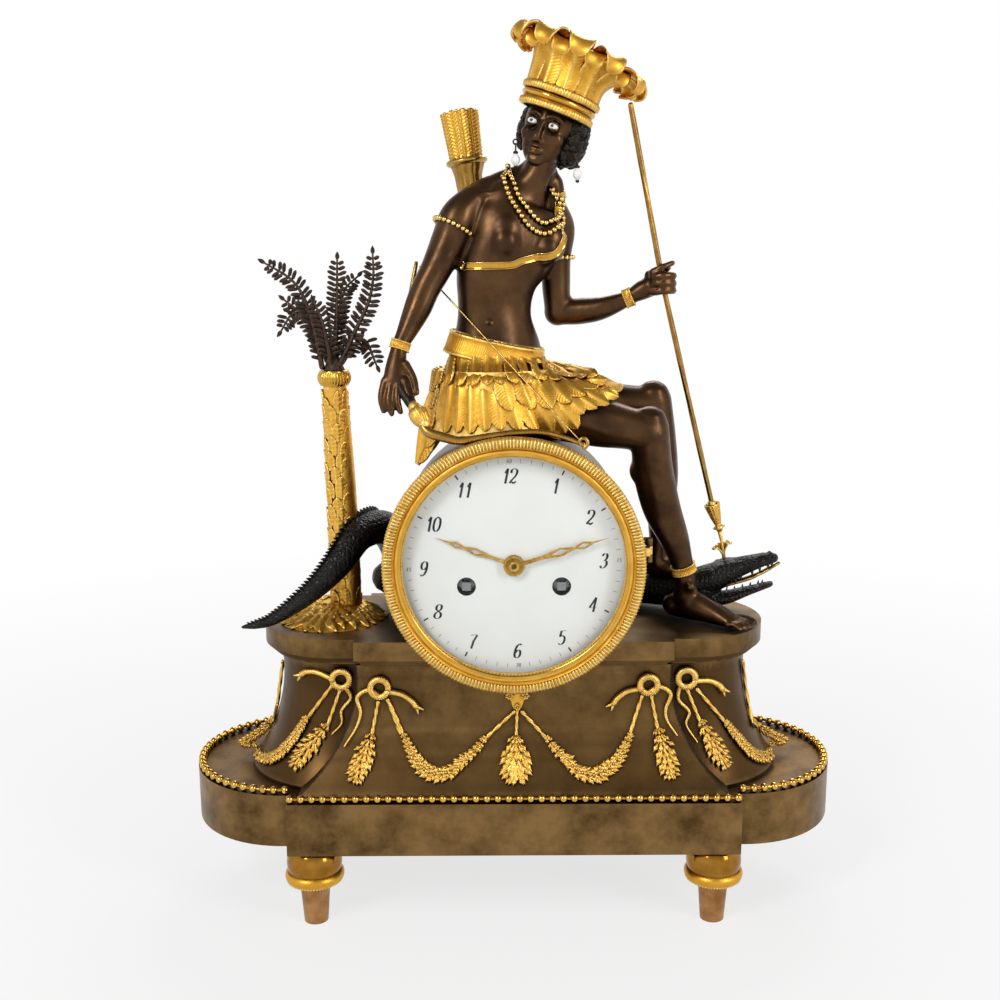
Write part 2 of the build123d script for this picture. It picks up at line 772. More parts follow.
with BuildPart() as third_wheel:
    x, z = third_place
    disc(arbor_back, arbor_front, arbor_radius * 0.8, x=x, z=z)
    disc(back_plate_back, front_plate_front, pivot_radius, x=x, z=z)
    gear(
        centre_wheel_back + wheel_thickness / 2, centre_wheel_back - wheel_thickness * 2,
        third_pinion_leaves, centre_module, third_pinion_phase, 0, x, z,
    )
    gear(third_wheel_back, third_wheel_back - wheel_thickness, third_wheel_teeth, third_module, 0, 0, x, z)
keep(third_wheel, "third_wheel")

with BuildPart() as escape_wheel:
    x, z = escape_place
    disc(arbor_back, arbor_front, arbor_radius * 0.6, x=x, z=z)
    disc(back_plate_back, front_plate_front, pivot_radius, x=x, z=z)
    gear(
        third_wheel_back + wheel_thickness / 2, third_wheel_back - wheel_thickness * 2,
        escape_pinion_leaves, third_module, escape_pinion_phase, 0, x, z,
    )
    escape_module = 2 * escape_radius / (escape_teeth + 2)
    gear(escape_wheel_back, escape_wheel_back - wheel_thickness, escape_teeth, escape_module, 0, 0, x, z)
keep(escape_wheel, "escape_wheel")

# Pallets: two arms that reach down beside the escape wheel, and the crutch outside the plate
pallet_arm_x = escape_radius * 1.16
pallet_arm_drop = pallet_rise * 0.66
crutch_length = pendulum_length * 0.28
prong_x = pendulum_rod_radius + body_gap + pivot_radius / 2
crutch_y = back_plate_back + wheel_thickness

with BuildPart() as pallets:
    disc(arbor_back, arbor_front, arbor_radius * 0.8, z=pallet_z)
    disc(arbor_front, front_plate_front, pivot_radius, z=pallet_z)
    disc(crutch_y + wheel_thickness / 2, arbor_back, arbor_radius * 0.8, z=pallet_z)
    arm_y = escape_wheel_back - wheel_thickness / 2
    top = dial_centre + pallet_z
    for side in (-1, 1):
        elbow = (side * pallet_arm_x * 0.8, arm_y, top - pallet_arm_drop * 0.2)
        tip = (side * pallet_arm_x, arm_y, top - pallet_arm_drop)
        rod((0, arm_y, top), elbow, pivot_radius / 2)
        ball(elbow, pivot_radius / 2)
        rod(elbow, tip, pivot_radius / 2)
    for side in (-1, 1):
        with Locations((side * prong_x, (crutch_y + pendulum_y) / 2, top - crutch_length)):
            Box(pivot_radius, pendulum_y - crutch_y + 2 * pendulum_rod_radius, 2 * pivot_radius)
    with Locations((0, crutch_y, top - crutch_length)):
        Box(2 * prong_x + pivot_radius, wheel_thickness / 2, 2 * pivot_radius)
    with Locations((0, crutch_y, top - crutch_length / 2)):
        Box(2 * pivot_radius, wheel_thickness / 2, crutch_length)
keep(pallets, "pallets")

with BuildPart() as pendulum:
    top = dial_centre + pallet_z
    low = top - pendulum_length
    eye_radius = suspension_pin_radius * 2.4
    eye_back = pendulum_y + wheel_thickness / 2
    disc(eye_back, eye_back - wheel_thickness, eye_radius, z=pallet_z)
    rod((0, pendulum_y, top - eye_radius / 2), (0, pendulum_y, low), pendulum_rod_radius)
    with BuildSketch(Plane(origin=(0, pendulum_y, low), x_dir=(1, 0, 0), z_dir=(0, 0, 1))) as lens:
        with BuildLine():
            ThreePointArc((0, -bob_thickness / 2), (bob_radius / 2, -bob_thickness * 0.4), (bob_radius, 0))
            ThreePointArc((bob_radius, 0), (bob_radius / 2, bob_thickness * 0.4), (0, bob_thickness / 2))
            Line((0, bob_thickness / 2), (0, -bob_thickness / 2))
        make_face()
    revolve(lens.sketch, axis=Axis((0, pendulum_y, low), (0, 1, 0)))
    disc(
        eye_back, eye_back - wheel_thickness, suspension_pin_radius + running_clearance, z=pallet_z,
        mode=Mode.SUBTRACT,
    )
keep(pendulum, "pendulum")

with BuildPart() as bell:
    middle = (bell_x, 0, dial_centre + bell_z)
    with BuildSketch(Plane(origin=middle, x_dir=(1, 0, 0), z_dir=(0, 0, 1))) as cup:
        with BuildLine():
            rim = bell_front
            crown = bell_front + bell_depth
            shoulder = bell_radius * 0.8
            ThreePointArc((bell_radius, rim), (shoulder * 1.06, rim + bell_depth * 0.6), (0, crown))
            Line((0, crown), (0, crown - bell_wall))
            ThreePointArc(
                (0, crown - bell_wall), (shoulder * 1.06 - bell_wall, rim + bell_depth * 0.5),
                (bell_radius - bell_wall, rim),
            )
            Line((bell_radius - bell_wall, rim), (bell_radius, rim))
        make_face()
    revolve(cup.sketch, axis=Axis(middle, (0, 1, 0)))
    disc(crown, crown - 2 * bell_wall, bell_post_radius, x=bell_x, z=bell_z, mode=Mode.SUBTRACT)
    disc(crown + bell_wall, back_plate_front, bell_post_radius, x=bell_x, z=bell_z)
    disc(crown + bell_wall, crown, bell_post_radius * 2.5, x=bell_x, z=bell_z)
keep(bell, "bell")

hammer_head_radius = 2.3

with BuildPart() as hammer:
    hub_back = back_plate_back + wheel_thickness * 3
    hub_front = back_plate_back + body_gap
    disc(hub_back, hub_front, arbor_radius * 2.2, x=hammer_x, z=hammer_z)
    head_x = bell_x - bell_radius - hammer_head_radius - body_gap * 2
    pivot = (hammer_x, (hub_back + hub_front) / 2, dial_centre + hammer_z)
    head_place = (head_x, bell_front + hammer_head_radius * 1.2, dial_centre + bell_z)
    rod(pivot, head_place, pivot_radius)
    ball(head_place, hammer_head_radius)
    disc(hub_back, hub_front, arbor_radius + running_clearance, x=hammer_x, z=hammer_z, mode=Mode.SUBTRACT)
keep(hammer, "hammer")

with BuildPart() as rear_door:
    disc(door_back + door_thickness, door_back, door_radius + door_lap, z=door_z)
    disc(door_back, door_back - drum_wall, door_radius - body_gap, z=door_z)
    grip = (door_radius * 0.8, door_back + door_thickness, dial_centre + door_z)
    rod(grip, (grip[0], grip[1] + door_lap, grip[2]), door_thickness / 2)
    ball((grip[0], grip[1] + door_lap, grip[2]), door_thickness)
    knuckles(
        door_hinge_x, door_hinge_y, dial_centre + door_z, moving_knuckle, hinge_knuckle_radius,
        hinge_pin_radius + running_clearance, -door_radius, -door_thickness,
    )
keep(rear_door, "rear_door")

# Motion work, dial and hands

minute_wheel_phase = meshed_phase(centre_place, cannon_leaves, 0, minute_work_place, minute_wheel_teeth)
hour_wheel_phase = meshed_phase(minute_work_place, minute_pinion_leaves, 0, centre_place, hour_wheel_teeth)

with BuildPart() as cannon_pinion:
    disc(motion_back, cannon_front, cannon_radius)
    gear(motion_back, motion_front, cannon_leaves, minute_work_module)
    disc(motion_back, cannon_front, cannon_bore, mode=Mode.SUBTRACT)
keep(cannon_pinion, "cannon_pinion")

with BuildPart() as minute_wheel:
    x, z = minute_work_place
    gear(motion_back, motion_front, minute_wheel_teeth, minute_work_module, minute_wheel_phase, 0, x, z)
    disc(motion_front, hour_back, plate_stud_radius * 2, x=x, z=z)
    gear(hour_back, hour_front, minute_pinion_leaves, hour_module, 0, 0, x, z)
    disc(motion_back, hour_front, minute_stud_bore, x=x, z=z, mode=Mode.SUBTRACT)
keep(minute_wheel, "minute_wheel")

hour_hand_front = hour_hand_back - hand_thickness
with BuildPart() as hour_wheel:
    gear(hour_back, hour_front, hour_wheel_teeth, hour_module, hour_wheel_phase)
    disc(hour_front, hour_hand_front, hour_pipe_radius)
    disc(hour_back, hour_hand_front, hour_pipe_bore, mode=Mode.SUBTRACT)
keep(hour_wheel, "hour_wheel")

with BuildPart() as dial:
    disc(dial_front + dial_thickness, dial_front, dial_radius)
    disc(dial_front + dial_thickness, dial_front, centre_hole_radius, mode=Mode.SUBTRACT)
    for x, z in (going_place, strike_place):
        disc(dial_front + dial_thickness, dial_front, winding_hole_radius, x=x, z=z, mode=Mode.SUBTRACT)
keep(dial, "dial")


def pierced_hand(back, length, turn, boss_radius, bore):
    """A hand with a boss, two pierced lozenges and a thin point."""
    neck = boss_radius * 0.9
    stages = ((0.30, 0.020), (0.50, 0.045), (0.64, 0.014), (0.74, 0.040), (0.84, 0.010))
    with BuildSketch(facing(back, turn=turn)) as outline:
        with BuildLine():
            right = [(length * width, length * along) for along, width in stages]
            left = [(-x, y) for x, y in reversed(right)]
            base = length * 0.022
            Polyline((base, neck), *right, (0, length), *left, (-base, neck), close=True)
        make_face()
        Circle(boss_radius)
        Circle(bore, mode=Mode.SUBTRACT)
        for middle, half_length, half_width in ((0.49, 0.10, 0.026), (0.74, 0.06, 0.022)):
            with BuildLine():
                Polyline(
                    (0, length * (middle - half_length)), (length * half_width, length * middle),
                    (0, length * (middle + half_length)), (-length * half_width, length * middle),
                    close=True,
                )
            make_face(mode=Mode.SUBTRACT)
    extrude(outline.sketch, amount=hand_thickness)


collet_radius = 5.2

with BuildPart() as hour_hand:
    pierced_hand(hour_hand_back, hour_hand_length, hour_hand_angle, collet_radius, hour_pipe_radius)
keep(hour_hand, "hour_hand")

with BuildPart() as minute_hand:
    pierced_hand(minute_hand_back, minute_hand_length, minute_hand_angle, collet_radius, cannon_radius)
    hand_front = minute_hand_back - hand_thickness
    disc(hand_front, cannon_front, collet_radius * 0.7, cannon_radius)
    disc(cannon_front, cannon_front - hand_thickness, collet_radius * 0.5, cannon_bore)
keep(minute_hand, "minute_hand")

# Mounts on the socle. Places are shares: across in slab half widths, up in socle heights.

def on_socle(across, up, proud):
    """A place just proud of the socle's front or of its round end."""
    x = across * slab_break_half_width
    z = plinth_top + up * (socle_top - plinth_top)
    if abs(x) <= reach_at(side_cavetto, z):
        return Vector(x, -reach_at(front_cavetto, z) - proud, z)
    reach = reach_at(end_cavetto, z) + proud
    past = abs(x) - slab_end_centre
    if past <= 0:
        return Vector(x, -reach, z)
    return Vector(x, -sqrt(max(reach ** 2 - past ** 2, 0)), z)


def chain(places, radius, end_radius=None):
    """Rods through a row of places, joined by balls, tapered to the end radius."""
    end_radius = radius if end_radius is None else end_radius
    count = len(places) - 1
    for index in range(count):
        here = radius + (end_radius - radius) * index / count
        there = radius + (end_radius - radius) * (index + 1) / count
        rod(places[index], places[index + 1], here, there)
        ball(places[index + 1], there)


def mounted(rows, radius, proud, end_radius=None):
    chain([on_socle(across, up, proud) for across, up in rows], radius, end_radius)


mount_radius = 1.6
rod_radius = 1.3
ring_radius = 5.6
ring_wire = 1.9
ring_proud = 1.5
serpent_radius = 2.0
serpent_tip_radius = 0.7
serpent_head_radius = 3.2
tassel_radius = 2.8

garland_row_shares = ((0.33, 0.26), (0.40, 0.17), (0.48, 0.16), (0.56, 0.19), (0.64, 0.27), (0.70, 0.42))

with BuildPart() as centre_mount:
    shield = [on_socle(0.02, up, mount_radius / 2) for up in (0.86, 0.74, 0.62)]
    swell([
        (shield[0], 2 * mount_radius, mount_radius),
        (shield[1], 4 * mount_radius, mount_radius),
        (shield[2], mount_radius, mount_radius),
    ], side=(1, 0, 0))
    mounted(((0.02, 0.63), (0.02, 0.50), (0.01, 0.36)), rod_radius, rod_radius / 2)
    for side in (-1, 1):
        mounted(((0.02, 0.62), (0.02 + side * 0.09, 0.50), (0.02 + side * 0.18, 0.41)), rod_radius, rod_radius / 2)
    drop = [on_socle(0.01, up, mount_radius / 2) for up in (0.40, 0.26, 0.12)]
    swell([
        (drop[0], mount_radius, mount_radius),
        (drop[1], 5 * mount_radius, mount_radius),
        (drop[2], mount_radius, mount_radius),
    ], side=(1, 0, 0))
    add(socle_shell.part, mode=Mode.SUBTRACT)
keep(centre_mount, "centre_mount")

with BuildPart() as garlands:
    for side in (-1, 1):
        mounted(
            [(side * across, up) for across, up in garland_row_shares], tassel_radius, mount_radius / 2
        )
        mounted(((side * 0.70, 0.42), (side * 0.78, 0.68)), rod_radius, mount_radius / 2)
    add(socle_shell.part, mode=Mode.SUBTRACT)
keep(garlands, "garlands")

# Each serpent: ring, head, tail row and the hanging rods with their tassels
serpent_rows = (
    ((-0.85, 0.82), (-0.62, 0.66), ((-0.85, 0.72), (-0.95, 0.62), (-0.93, 0.50), (-1.02, 0.40)),
     ((-0.86, 0.70), (-0.90, 0.44), (-0.97, 0.15))),
    ((-1.10, 0.86), (-1.33, 0.86), ((-1.10, 0.76), (-1.12, 0.64), (-1.16, 0.52), (-1.20, 0.42)),
     ((-1.16, 0.78), (-1.33, 0.51), (-1.58, 0.16))),
    ((0.85, 0.84), (0.66, 0.70), ((0.85, 0.74), (0.96, 0.68), (0.94, 0.56), (1.00, 0.45)),
     ((0.87, 0.72), (0.91, 0.48), (0.97, 0.17))),
    ((1.10, 0.86), (1.31, 0.72), ((1.10, 0.76), (1.12, 0.62), (1.14, 0.50), (1.18, 0.38)),
     ((1.16, 0.76), (1.36, 0.46), (1.58, 0.16))),
)


def serpent(ring, serpent_head, tail, hanging):
    """One serpent coiled in a ring, seated on the socle, with its hanging rods."""
    with BuildPart() as piece:
        hub = on_socle(*ring, ring_proud)
        with Locations(Plane(origin=hub, x_dir=(1, 0, 0), z_dir=(0, -1, 0))):
            Torus(ring_radius, ring_wire)
        head_place = on_socle(*serpent_head, ring_proud)
        near_ring = hub + (head_place - hub).normalized() * ring_radius
        chain([near_ring, head_place], serpent_radius)
        ball(head_place, serpent_head_radius)
        mounted(tail, serpent_radius, ring_proud, serpent_tip_radius)
        mounted(hanging, rod_radius, ring_proud)
        ball(on_socle(*hanging[2], ring_proud), tassel_radius)
        add(socle_shell.part, mode=Mode.SUBTRACT)
    return piece


serpents = [serpent(*row) for row in serpent_rows]

with BuildPart() as serpent_mounts:
    for piece in serpents:
        add(piece.part)
keep(serpent_mounts, "serpent_mounts")

# Palm. Frond places are shares of the frond reach, counted from the crown.

frond_reach = 50.0
frond_width = 5.5
frond_thickness = 1.0
collar_depth = 8.0
palm_collar_radius = 8.5
palm_crown = Vector(palm_x - palm_top_radius / 2, 0, slab_top + palm_height + collar_depth + body_gap * 10)

with BuildPart() as palm_trunk:
    low = Vector(palm_x, 0, slab_top)
    middle = low + Vector(0, 0, palm_height / 2)
    high = Vector(palm_x - palm_top_radius / 2, 0, slab_top + palm_height + body_gap)
    swell([
        (low, palm_foot_radius, palm_foot_radius),
        (middle, (palm_foot_radius + palm_top_radius) / 2, (palm_foot_radius + palm_top_radius) / 2),
        (high, palm_top_radius, palm_top_radius),
    ])
keep(palm_trunk, "palm_trunk")

collar_low = Vector(palm_crown.X, 0, slab_top + palm_height)
with BuildPart() as palm_collar:
    rod(collar_low, collar_low + Vector(0, 0, collar_depth), palm_collar_radius)
    add(palm_trunk.part, mode=Mode.SUBTRACT)
keep(palm_collar, "palm_collar")

frond_shares = (
    ((-0.08, -0.04, 0.0), (-0.17, -0.10, 0.36), (-0.27, -0.16, 0.66), (-0.40, -0.20, 0.90), (-0.64, -0.22, 1.00)),
    ((0.0, 0.0, 0.0), (0.04, 0.02, 0.66), (0.07, 0.02, 1.08)),
    ((0.06, -0.04, 0.0), (0.37, -0.08, 0.60), (0.44, -0.10, 1.10)),
    ((0.08, 0.0, 0.0), (0.30, 0.04, 0.26), (0.46, 0.06, -0.08)),
    ((-0.08, 0.04, 0.04), (-0.26, 0.08, 0.52), (-0.58, 0.12, 0.30)),
    ((-0.06, 0.06, 0.0), (-0.30, 0.14, 0.40), (-0.54, 0.20, 0.66)),
    ((0.0, 0.08, 0.0), (0.06, 0.26, 0.60), (0.24, 0.40, 0.84)),
)

with BuildPart() as palm_fronds:
    core = collar_low + Vector(0, 0, collar_depth)
    rod(core, core + Vector(0, 0, collar_depth / 2), palm_top_radius)
    for row in frond_shares:
        places = [palm_crown + Vector(*share) * frond_reach for share in row]
        widths = [0.5] + [1.0] * (len(places) - 2) + [0.3]
        across = (places[-1] - places[0]).cross(Vector(0, 1, 0))
        swell(
            [(place, frond_width * width, frond_thickness * width ** 0.5) for place, width in zip(places, widths)],
            side=tuple(across.normalized()),
        )
        ball(places[0], frond_width / 2)
    add(palm_collar.part, mode=Mode.SUBTRACT)
keep(palm_fronds, "palm_fronds")

with BuildPart() as ground_mound:
    middle = (palm_x - palm_foot_radius, 0, slab_top)
    with BuildSketch(Plane(origin=middle, x_dir=(1, 0, 0), z_dir=(0, -1, 0))) as heap:
        with BuildLine():
            ThreePointArc(
                (mound_radius, 0), (mound_radius * 0.72, mound_height * 0.52), (mound_radius * 0.3, mound_height)
            )
            Polyline((mound_radius * 0.3, mound_height), (0, mound_height), (0, 0), (mound_radius, 0))
        make_face()
    revolve(heap.sketch, axis=Axis(middle, (0, 0, 1)))
    add(palm_trunk.part, mode=Mode.SUBTRACT)
keep(ground_mound, "ground_mound")

# Crocodile. Places are shares of its girth radius, counted from the slab at the drum's middle.

def croc(x, y, z):
    return Vector(0, 0, slab_top) + Vector(x, y, z) * croc_girth


def croc_rows(rows):
    return [(croc(*place), wide * croc_girth, deep * croc_girth) for place, wide, deep in rows]


body_rows = (
    ((-7.4, 2.6, 1.60), 0.95, 1.00),
    ((-6.2, 2.9, 1.35), 1.15, 1.20),
    ((-4.6, 3.4, 1.15), 1.00, 1.05),
    ((0.0, 3.8, 1.05), 0.95, 1.00),
    ((4.6, 3.6, 1.05), 0.95, 1.00),
    ((7.8, 2.2, 1.05), 0.95, 0.95),
    ((10.2, 1.2, 1.15), 0.95, 0.95),
    ((11.2, 1.1, 1.40), 0.80, 0.80),
)
upper_jaw_rows = (
    ((10.3, 1.16, 1.40), 0.95, 0.95),
    ((11.8, 1.16, 1.95), 1.05, 0.95),
    ((12.8, 0.95, 2.50), 0.85, 0.68),
    ((14.1, 0.74, 3.00), 0.63, 0.42),
    ((14.9, 0.63, 3.22), 0.45, 0.28),
)
lower_jaw_rows = (
    ((10.9, 1.16, 0.80), 0.75, 0.52),
    ((12.2, 1.05, 0.80), 0.80, 0.46),
    ((13.5, 0.84, 1.30), 0.58, 0.27),
    ((14.8, 0.63, 1.75), 0.37, 0.16),
)
tail_rows = (
    ((-6.3, 2.8, 1.90), 1.10, 1.10),
    ((-6.9, 2.3, 3.90), 1.05, 1.05),
    ((-7.6, 1.0, 5.00), 1.00, 1.00),
    ((-8.7, -0.6, 4.90), 0.92, 0.92),
    ((-9.6, -1.6, 3.70), 0.80, 0.80),
    ((-10.7, -2.1, 2.50), 0.63, 0.63),
    ((-12.0, -2.4, 1.45), 0.48, 0.48),
    ((-13.3, -2.45, 0.55), 0.34, 0.34),
    ((-14.2, -2.45, 0.28), 0.25, 0.25),
    ((-15.0, -2.4, 0.14), 0.10, 0.10),
)

with BuildPart() as crocodile:
    swell(croc_rows(body_rows), side=(0, 0, 1))
    swell(croc_rows(tail_rows), side=(0, 1, 0))
    swell(croc_rows(upper_jaw_rows), side=(0, 1, 0))
    swell(croc_rows(lower_jaw_rows), side=(0, 1, 0))
    ball(croc(10.3, 1.16, 1.25), croc_girth)
    ball(croc(-6.9, 2.7, 1.50), croc_girth * 1.25)
    chain([croc(11.5, 0.95, 1.35), croc(13.6, 0.84, 2.10), croc(15.2, 0.55, 2.95)], croc_girth / 4, croc_girth / 9)
    with BuildSketch(Plane.XY.offset(slab_top)) as ground:
        Rectangle(4 * block_half_width, 4 * block_half_depth)
    extrude(ground.sketch, amount=-mound_radius, mode=Mode.SUBTRACT)
    add(ground_mound.part, mode=Mode.SUBTRACT)
    add(palm_trunk.part, mode=Mode.SUBTRACT)
    disc(drum_back + body_gap, flange_front, drum_radius + body_gap, mode=Mode.SUBTRACT)
keep(crocodile, "crocodile")

# Figure. Places are shares of a head height, counted from the drum's top.

def at(x, y, z):
    return Vector(0, 0, drum_top) + Vector(x, y, z) * head_height


def limb_rows(rows):
    """Places with half widths, and half depths where these differ, in head heights."""
    stations = []
    for place, half_width, *half_depth in rows:
        depth = half_depth[0] if half_depth else half_width
        stations.append((at(*place), half_width * head_height, depth * head_height))
    return stations


def egg(centre, half_width, half_depth, half_height, up=(0, 0, 1), side=(1, 0, 0)):
    """A closed egg made of ellipses along its upright direction."""
    up = Vector(*up).normalized()
    stations = []
    for share in (-0.98, -0.80, -0.40, 0.0, 0.40, 0.80, 0.98):
        girth = sqrt(1 - share * share)
        stations.append((centre + up * half_height * share, half_width * girth, half_depth * girth))
    swell(stations, side)


torso_side = (cos(radians(torso_turn)), sin(radians(torso_turn)), 0)
torso_rows = (
    ((-0.20, -0.25, 0.08), 0.58, 0.42),
    ((-0.20, -0.25, 0.48), 0.66, 0.50),
    ((-0.22, -0.20, 1.02), 0.60, 0.44),
    ((-0.24, -0.20, 1.50), 0.48, 0.35),
    ((-0.20, -0.15, 1.98), 0.54, 0.40),
    ((-0.02, -0.12, 2.35), 0.60, 0.42),
    ((0.06, -0.10, 2.66), 0.60, 0.38),
    ((0.10, -0.08, 2.90), 0.48, 0.30),
    ((0.20, -0.10, 3.06), 0.27, 0.24),
    ((0.30, -0.14, 3.24), 0.20, 0.21),
    ((0.38, -0.15, 3.46), 0.19, 0.21),
)

with BuildPart() as drum_solid:
    disc(drum_back, flange_front, drum_radius)
    disc(flange_front + flange_thickness, flange_front, flange_radius)

with BuildPart() as torso:
    swell(limb_rows(torso_rows), side=torso_side)
    ball(at(-0.10, -0.45, 2.48), 0.21 * head_height)
    ball(at(0.43, -0.31, 2.36), 0.21 * head_height)
    add(drum_solid.part, mode=Mode.SUBTRACT)
keep(torso, "torso")

# Head: its up direction leans, its front looks past the dial's left
head_lean = 17.0
head_turn = 20.0
head_up = Vector(sin(radians(head_lean)), 0, cos(radians(head_lean)))
head_front = Vector(-sin(radians(head_turn)) * head_up.Z, -cos(radians(head_turn)), sin(radians(head_turn)) * head_up.X)
head_side = head_front.cross(head_up) * -1
head_middle = at(0.45, -0.10, 3.73)


def on_head(side, front, up):
    """A place in the head's own directions, in head heights from its middle."""
    return head_middle + (head_side * side + head_front * front + head_up * up) * head_height


eye_radius_share = 0.065
eye_place_shares = (-0.15, 0.15)
ear_arm_radius = 0.6

with BuildPart() as enamel_eyes:
    for side in eye_place_shares:
        ball(on_head(side, 0.325, 0.03), eye_radius_share * head_height)
keep(enamel_eyes, "enamel_eyes")

ear_places = (at(0.03, -0.30, 3.60), at(0.79, -0.46, 3.42))

with BuildPart() as head:
    egg(head_middle, 0.37 * head_height, 0.38 * head_height, 0.52 * head_height, tuple(head_up), tuple(head_side))
    ball(on_head(0, 0.36, -0.10), 0.06 * head_height)
    egg(on_head(-0.30, -0.10, 0.02), 0.20 * head_height, 0.18 * head_height, 0.30 * head_height, tuple(head_up))
    egg(on_head(0.30, -0.10, -0.06), 0.20 * head_height, 0.18 * head_height, 0.34 * head_height, tuple(head_up))
    egg(on_head(0, -0.22, -0.10), 0.34 * head_height, 0.24 * head_height, 0.38 * head_height, tuple(head_up))
    add(torso.part, mode=Mode.SUBTRACT)
    add(enamel_eyes.part, mode=Mode.SUBTRACT)
    for place in ear_places:
        inner = place + Vector(0, ear_arm_radius * 3, 0)
        outer = place - Vector(0, ear_arm_radius * 3, 0)
        rod(inner, outer, ear_arm_radius)
        ball(inner, ear_arm_radius)
        rod(inner, head_middle, ear_arm_radius)
        ball(outer, ear_arm_radius * 1.6)
keep(head, "head")

earring_thickness = 1.2
earring_drop = 0.20 * head_height
drop_radius = 0.055 * head_height
for name, place in (("earring_left", ear_places[0]), ("earring_right", ear_places[1])):
    with BuildPart() as earring:
        half = Vector(0, earring_thickness / 2, 0)
        rod(place - half, place + half, ear_arm_radius * 3)
        rod(place, place - Vector(0, 0, earring_drop), ear_arm_radius)
        drop_top = place - Vector(0, 0, earring_drop)
        ball(drop_top, drop_radius)
        rod(drop_top, drop_top - Vector(0, 0, drop_radius * 2), drop_radius * 0.8, drop_radius / 2)
        rod(place - half * 2, place + half * 2, ear_arm_radius + running_clearance, mode=Mode.SUBTRACT)
    keep(earring, name)

# Headdress: a banded ring and curling feathers
band_low = at(0.52, -0.10, 3.95)
band_high = at(0.62, -0.10, 4.22)
band_low_radius = 0.46 * head_height
band_high_radius = 0.50 * head_height
feather_count = 11
feather_width = 0.17 * head_height
feather_thickness = 0.03 * head_height

with BuildPart() as headdress:
    rod(band_low, band_high, band_low_radius, band_high_radius)
    lean = (band_high - band_low).normalized()
    first = Vector(0, -1, 0)
    second = lean.cross(first)
    for index in range(feather_count):
        angle = 360 * index / feather_count
        out = first * cos(radians(angle)) + second * sin(radians(angle))
        tip_drop = 0.10 * max(out.X, 0)
        rows = []
        for reach, rise, width, thickness in (
            (0.44, -0.06, 0.9, 1.4), (0.49, 0.22, 1.0, 1.0), (0.58, 0.42 - tip_drop, 1.1, 1.0),
            (0.69, 0.53 - 2 * tip_drop, 0.9, 1.0), (0.79, 0.49 - 3 * tip_drop, 0.4, 0.8),
        ):
            place = band_high + (out * reach + lean * rise) * head_height
            rows.append((place, feather_width * width, feather_thickness * thickness))
        swell(rows, side=tuple(lean.cross(out)))
    add(head.part, mode=Mode.SUBTRACT)
keep(headdress, "headdress")

bow_rows = (
    ((-1.24, -0.06, 2.13), 0.025), ((-1.33, -0.25, 1.60), 0.035), ((-1.38, -0.42, 1.12), 0.045),
    ((-1.42, -0.82, 0.86), 0.05), ((-1.38, -1.02, 0.62), 0.05), ((-1.16, -1.22, 0.34), 0.05),
    ((-1.06, -1.34, 0.16), 0.045), ((-0.86, -1.38, 0.09), 0.045), ((-0.64, -1.40, 0.05), 0.04),
    ((-0.34, -1.40, 0.09), 0.04), ((0.0, -1.40, 0.14), 0.04), ((0.32, -1.40, 0.15), 0.035),
    ((0.60, -1.47, 0.10), 0.03), ((0.84, -1.55, 0.02), 0.025),
)
bow_grip_radius = 0.12 * head_height

with BuildPart() as bow:
    chain([at(*place) for place, girth in bow_rows], bow_rows[4][1] * head_height, bow_rows[-1][1] * head_height)
    ball(at(-1.15, -1.22, 0.34), bow_grip_radius)
    ball(at(0.84, -1.55, 0.02), 0.045 * head_height)
    add(drum_solid.part, mode=Mode.SUBTRACT)
keep(bow, "bow")

right_arm_rows = (
    ((-0.48, -0.18, 2.92), 0.20), ((-0.68, -0.30, 2.70), 0.24), ((-0.78, -0.32, 2.45), 0.24),
    ((-0.96, -0.40, 2.08), 0.20), ((-1.10, -0.48, 1.82), 0.20), ((-1.20, -0.55, 1.58), 0.18),
    ((-1.42, -0.75, 1.11), 0.115), ((-1.45, -0.88, 0.88), 0.15, 0.09),
    ((-1.46, -0.95, 0.72), 0.18, 0.09), ((-1.50, -1.05, 0.38), 0.12, 0.06),
)
left_upper_rows = (
    ((0.50, 0.08, 2.78), 0.20), ((0.58, 0.18, 2.55), 0.22), ((0.55, 0.20, 2.20), 0.20),
    ((0.56, 0.20, 1.80), 0.19), ((0.58, 0.20, 1.48), 0.175),
)
left_lower_rows = (
    ((0.55, 0.20, 1.48), 0.17), ((0.82, 0.18, 1.50), 0.175), ((1.12, 0.10, 1.54), 0.155),
    ((1.40, 0.05, 1.64), 0.12), ((1.52, 0.02, 1.70), 0.105), ((1.66, 0.01, 1.78), 0.14),
    ((1.84, 0.02, 1.86), 0.14),
)

with BuildPart() as right_arm:
    swell(limb_rows(right_arm_rows), side=(1, 0, 0))
    chain([at(-1.36, -0.92, 0.84), at(-1.30, -1.02, 0.66), at(-1.22, -1.08, 0.52)], 0.06 * head_height)
    add(torso.part, mode=Mode.SUBTRACT)
    add(bow.part, mode=Mode.SUBTRACT)
keep(right_arm, "right_arm")

spear_line = (
    at(1.47, -0.05, 4.07), at(1.93, 0.02, 1.86), at(2.69, 0.20, -1.11), at(2.79, 0.22, -1.41),
    at(2.84, 0.22, -1.62), at(2.88, 0.25, -1.85),
)
spear_radius = 0.035 * head_height

with BuildPart() as spear:
    chain(spear_line[:3], spear_radius)
    rod(spear_line[2], spear_line[3], spear_radius * 1.2, spear_radius * 2.6)
    ball(spear_line[3], spear_radius * 3)
    swell([
        (spear_line[3], spear_radius * 1.5, spear_radius * 1.5),
        (spear_line[4], spear_radius * 4, spear_radius * 1.6),
        (spear_line[5], spear_radius * 0.5, spear_radius * 0.5),
    ], side=(1, 0, 0))
keep(spear, "spear")

